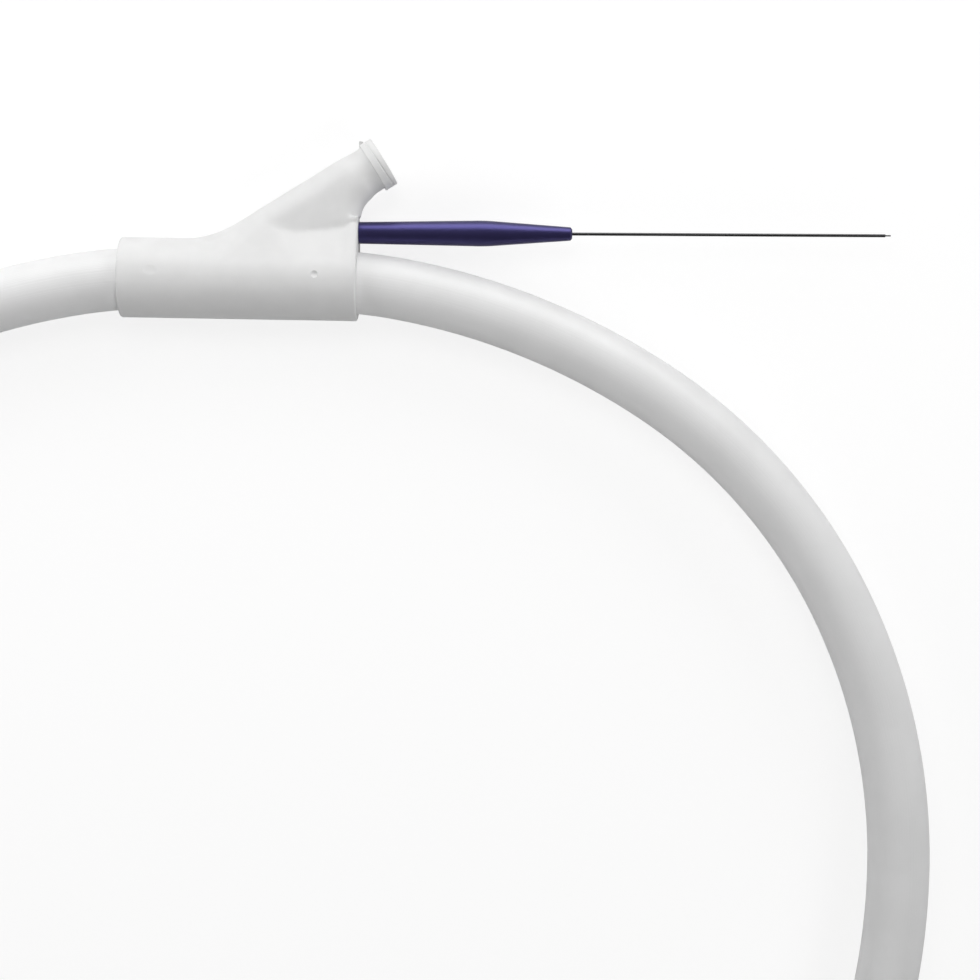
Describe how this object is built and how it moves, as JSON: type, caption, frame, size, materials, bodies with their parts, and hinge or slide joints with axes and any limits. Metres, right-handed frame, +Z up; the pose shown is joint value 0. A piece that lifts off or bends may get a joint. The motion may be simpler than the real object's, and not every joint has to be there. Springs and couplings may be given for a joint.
{
  "type": "guidewire in a dispenser hoop",
  "caption": "Guidewire coiled in a tube hoop, with a moulded flush connector and a tapered introducer that the wire leaves through.",
  "frame": {"origin": "on the surface that the hoop lies on, below the middle of the box round the whole part", "axes": "+Z up through the hoop's plane, +X along the connector's barrel towards the introducer and the wire's tip, +Y from the middle of the hoop to the connector"},
  "size_m": [0.2096, 0.2122, 0.012],
  "materials": {
    "hoop_tube": "milky extruded polyethylene, satin",
    "connector": "white moulded polypropylene, fine matt texture",
    "introducer": "violet moulded plastic, satin",
    "core": "drawn and ground nickel titanium",
    "jacket": "smooth black polyurethane jacket with a slick coat"
  },
  "bodies": {
    "dispenser": {"hoop_tube": "hoop_tube", "flush_connector": "connector", "guidewire_core": "core", "guidewire_jacket": "jacket"},
    "introducer": {"introducer": "introducer"}
  },
  "joints": [
    {"name": "introducer_slide", "type": "slide", "parent": "dispenser", "child": "introducer", "axis": [0.9999, 0.0113, 0], "range_m": [0, 0.045]}
  ]
}
